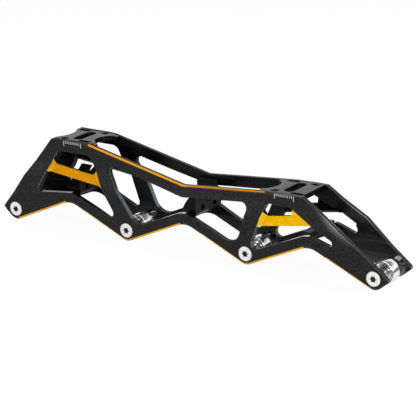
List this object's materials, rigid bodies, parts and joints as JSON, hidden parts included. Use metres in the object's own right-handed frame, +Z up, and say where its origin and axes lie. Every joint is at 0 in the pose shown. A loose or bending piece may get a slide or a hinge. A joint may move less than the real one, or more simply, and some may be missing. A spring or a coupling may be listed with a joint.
{
  "type": "inline skate frame",
  "caption": "Open-work inline skate frame with bowed windowed side walls, gold braces, two boot decks at different heights, screw-in axles and loose bearing spacers.",
  "frame": {"origin": "middle of the bounding box in plan, at the level of the lowest point, where the bearing spacers end", "axes": "+X forward to the toe, +Y to the skater's left, +Z up to the boot"},
  "size_m": [0.3547, 0.0456, 0.0742],
  "materials": {
    "black_anodised": "satin black anodised",
    "deck_face": "satin black, faced on top",
    "gold_anodised": "satin gold anodised",
    "axle_steel": "bright turned steel",
    "spacer_polish": "polished"
  },
  "bodies": {
    "frame": {"right_side_wall": "black_anodised", "left_side_wall": "black_anodised", "rear_bridge": "black_anodised", "middle_bridge": "black_anodised", "front_bridge": "black_anodised", "rear_mount_deck": "deck_face", "front_mount_deck": "deck_face", "right_rear_brace": "gold_anodised", "right_front_brace": "gold_anodised", "left_rear_brace": "gold_anodised", "left_front_brace": "gold_anodised"},
    "axle_1": {"axle_1": "axle_steel"},
    "bearing_spacer_1": {"bearing_spacer_1": "spacer_polish"},
    "axle_2": {"axle_2": "axle_steel"},
    "bearing_spacer_2": {"bearing_spacer_2": "spacer_polish"},
    "axle_3": {"axle_3": "axle_steel"},
    "bearing_spacer_3": {"bearing_spacer_3": "spacer_polish"},
    "axle_4": {"axle_4": "axle_steel"},
    "bearing_spacer_4": {"bearing_spacer_4": "spacer_polish"}
  },
  "joints": [
    {"name": "axle_1_pull", "type": "slide", "parent": "frame", "child": "axle_1", "axis": [0, -1, 0], "range_m": [0, 0.036]},
    {"name": "bearing_spacer_1_slide", "type": "slide", "parent": "frame", "child": "bearing_spacer_1", "axis": [0, 1, 0], "range_m": [-0.0062, 0.0078]},
    {"name": "axle_2_pull", "type": "slide", "parent": "frame", "child": "axle_2", "axis": [0, -1, 0], "range_m": [0, 0.036]},
    {"name": "bearing_spacer_2_slide", "type": "slide", "parent": "frame", "child": "bearing_spacer_2", "axis": [0, 1, 0], "range_m": [-0.0062, 0.0078]},
    {"name": "axle_3_pull", "type": "slide", "parent": "frame", "child": "axle_3", "axis": [0, -1, 0], "range_m": [0, 0.036]},
    {"name": "bearing_spacer_3_slide", "type": "slide", "parent": "frame", "child": "bearing_spacer_3", "axis": [0, 1, 0], "range_m": [-0.0062, 0.0078]},
    {"name": "axle_4_pull", "type": "slide", "parent": "frame", "child": "axle_4", "axis": [0, -1, 0], "range_m": [0, 0.036]},
    {"name": "bearing_spacer_4_slide", "type": "slide", "parent": "frame", "child": "bearing_spacer_4", "axis": [0, 1, 0], "range_m": [-0.0062, 0.0078]}
  ]
}
